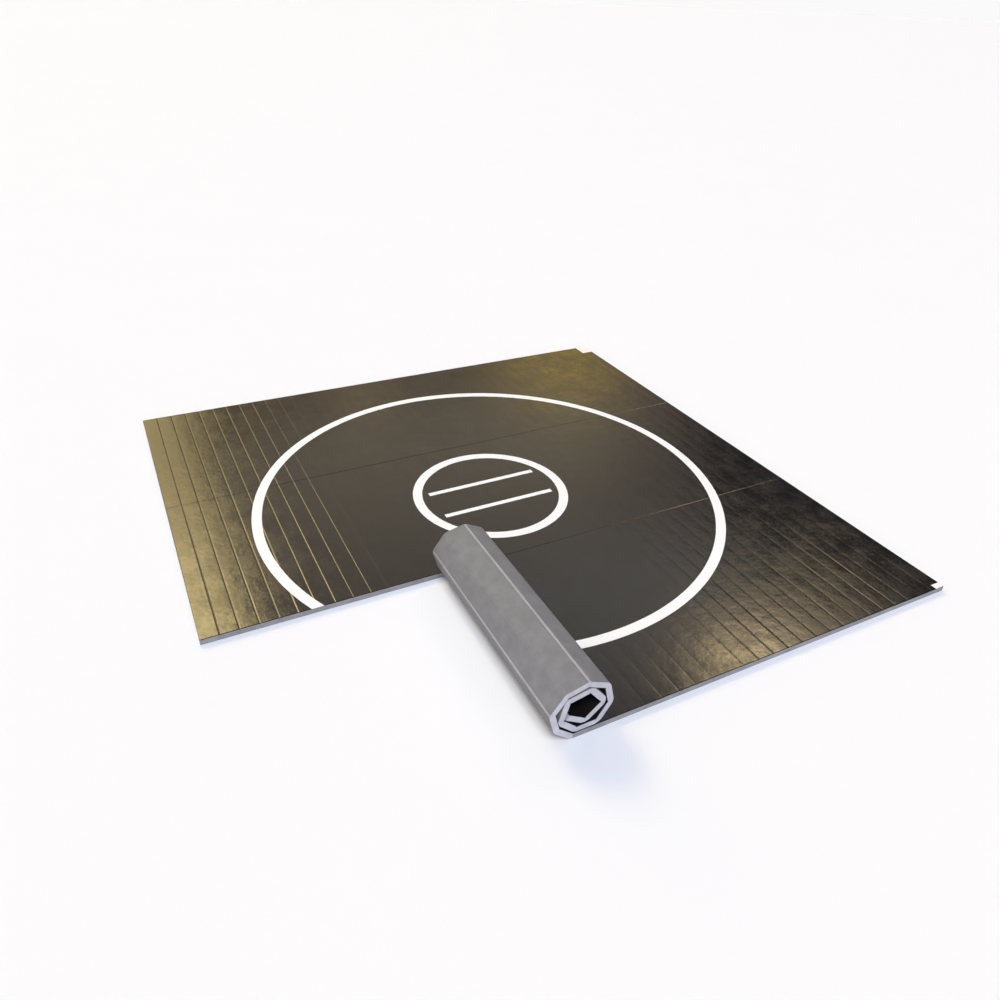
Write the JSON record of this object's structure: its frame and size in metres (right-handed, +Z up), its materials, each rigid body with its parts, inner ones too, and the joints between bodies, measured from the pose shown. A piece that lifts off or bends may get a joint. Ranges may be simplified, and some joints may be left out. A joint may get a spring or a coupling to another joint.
{
  "type": "roll-out wrestling mat",
  "caption": "Square roll-out wrestling mat: black vinyl skin on slit foam planks, strips side by side, white rings and starting lines, one strip part-rolled.",
  "frame": {"origin": "on the floor, under the middle of the square mat", "axes": "+X along the strips away from the rolled end, +Y across the strips away from the rolled strip, +Z up"},
  "size_m": [3.6576, 3.6576, 0.3126],
  "materials": {
    "vinyl": "semi-gloss black vinyl with a fine leather grain",
    "foam": "matt light lavender-grey closed-cell foam, knife-cut faces",
    "line_ink": "matt white printed line",
    "corner_tape": "matt white tape"
  },
  "bodies": {
    "middle_strip": {"inner_ring_line": "line_ink", "middle_foam_planks": "foam", "middle_ring_lines": "line_ink", "middle_vinyl_skin": "vinyl", "start_line_far": "line_ink", "start_line_near": "line_ink"},
    "rear_strip": {"rear_corner_patch": "corner_tape", "rear_foam_planks": "foam", "rear_ring_line": "line_ink", "rear_vinyl_skin": "vinyl"},
    "front_strip": {"front_corner_patch": "corner_tape", "front_foam_planks": "foam", "front_ring_line": "line_ink", "front_vinyl_skin": "vinyl"},
    "roll_plank_01": {"roll_foam_01": "foam", "roll_ring_01": "line_ink", "roll_vinyl_01": "vinyl"},
    "roll_plank_02": {"roll_foam_02": "foam", "roll_ring_02": "line_ink", "roll_vinyl_02": "vinyl"},
    "roll_plank_03": {"roll_foam_03": "foam", "roll_ring_03": "line_ink", "roll_vinyl_03": "vinyl"},
    "roll_plank_04": {"roll_foam_04": "foam", "roll_ring_04": "line_ink", "roll_vinyl_04": "vinyl"},
    "roll_core": {"roll_foam_05": "foam", "roll_foam_06": "foam", "roll_foam_07": "foam", "roll_foam_08": "foam", "roll_foam_09": "foam", "roll_foam_10": "foam", "roll_foam_11": "foam", "roll_foam_12": "foam", "roll_foam_13": "foam", "roll_foam_14": "foam", "roll_ring_05": "line_ink", "roll_ring_06": "line_ink", "roll_ring_07": "line_ink", "roll_ring_08": "line_ink", "roll_ring_09": "line_ink", "roll_vinyl_05": "vinyl", "roll_vinyl_06": "vinyl", "roll_vinyl_07": "vinyl", "roll_vinyl_08": "vinyl", "roll_vinyl_09": "vinyl", "roll_vinyl_10": "vinyl", "roll_vinyl_11": "vinyl", "roll_vinyl_12": "vinyl", "roll_vinyl_13": "vinyl", "roll_vinyl_14": "vinyl"},
    "middle_end_plank_01": {"middle_end_foam_01": "foam", "middle_end_vinyl_01": "vinyl"},
    "middle_end_plank_02": {"middle_end_foam_02": "foam", "middle_end_vinyl_02": "vinyl"},
    "rear_end_plank_01": {"rear_end_foam_01": "foam", "rear_end_vinyl_01": "vinyl"},
    "rear_end_plank_02": {"rear_end_foam_02": "foam", "rear_end_vinyl_02": "vinyl"}
  },
  "joints": [
    {"name": "front_strip_part", "type": "slide", "parent": "middle_strip", "child": "front_strip", "axis": [0, -1, 0], "range_m": [0, 0.3]},
    {"name": "rear_strip_part", "type": "slide", "parent": "middle_strip", "child": "rear_strip", "axis": [0, 1, 0], "range_m": [0, 0.3]},
    {"name": "unroll_01", "type": "hinge", "parent": "front_strip", "child": "roll_plank_01", "pos_m": [-0.51582, 0, 0.03175], "axis": [0, -1, 0], "range_deg": [0, 41.5]},
    {"name": "unroll_02", "type": "hinge", "parent": "roll_plank_01", "child": "roll_plank_02", "pos_m": [-0.58606, 0, 0.09389], "axis": [0, -1, 0], "range_deg": [0, 33]},
    {"name": "unroll_03", "type": "hinge", "parent": "roll_plank_02", "child": "roll_plank_03", "pos_m": [-0.61112, 0, 0.18427], "axis": [0, -1, 0], "range_deg": [0, 51]},
    {"name": "unroll_04", "type": "hinge", "parent": "roll_plank_03", "child": "roll_plank_04", "pos_m": [-0.55666, 0, 0.26062], "axis": [0, -1, 0], "range_deg": [0, 41.5]},
    {"name": "unroll_05", "type": "hinge", "parent": "roll_plank_04", "child": "roll_core", "pos_m": [-0.46528, 0, 0.28172], "axis": [0, -1, 0], "range_deg": [0, 39.5]},
    {"name": "middle_lift_01", "type": "hinge", "parent": "middle_strip", "child": "middle_end_plank_01", "pos_m": [-1.64123, 0, 0.03175], "axis": [0, 1, 0], "range_deg": [0, 86]},
    {"name": "middle_lift_02", "type": "hinge", "parent": "middle_end_plank_01", "child": "middle_end_plank_02", "pos_m": [-1.73502, 0, 0.03175], "axis": [0, 1, 0], "range_deg": [0, 86]},
    {"name": "rear_lift_01", "type": "hinge", "parent": "rear_strip", "child": "rear_end_plank_01", "pos_m": [-1.64123, 0, 0.03175], "axis": [0, 1, 0], "range_deg": [0, 86]},
    {"name": "rear_lift_02", "type": "hinge", "parent": "rear_end_plank_01", "child": "rear_end_plank_02", "pos_m": [-1.73502, 0, 0.03175], "axis": [0, 1, 0], "range_deg": [0, 86]}
  ]
}
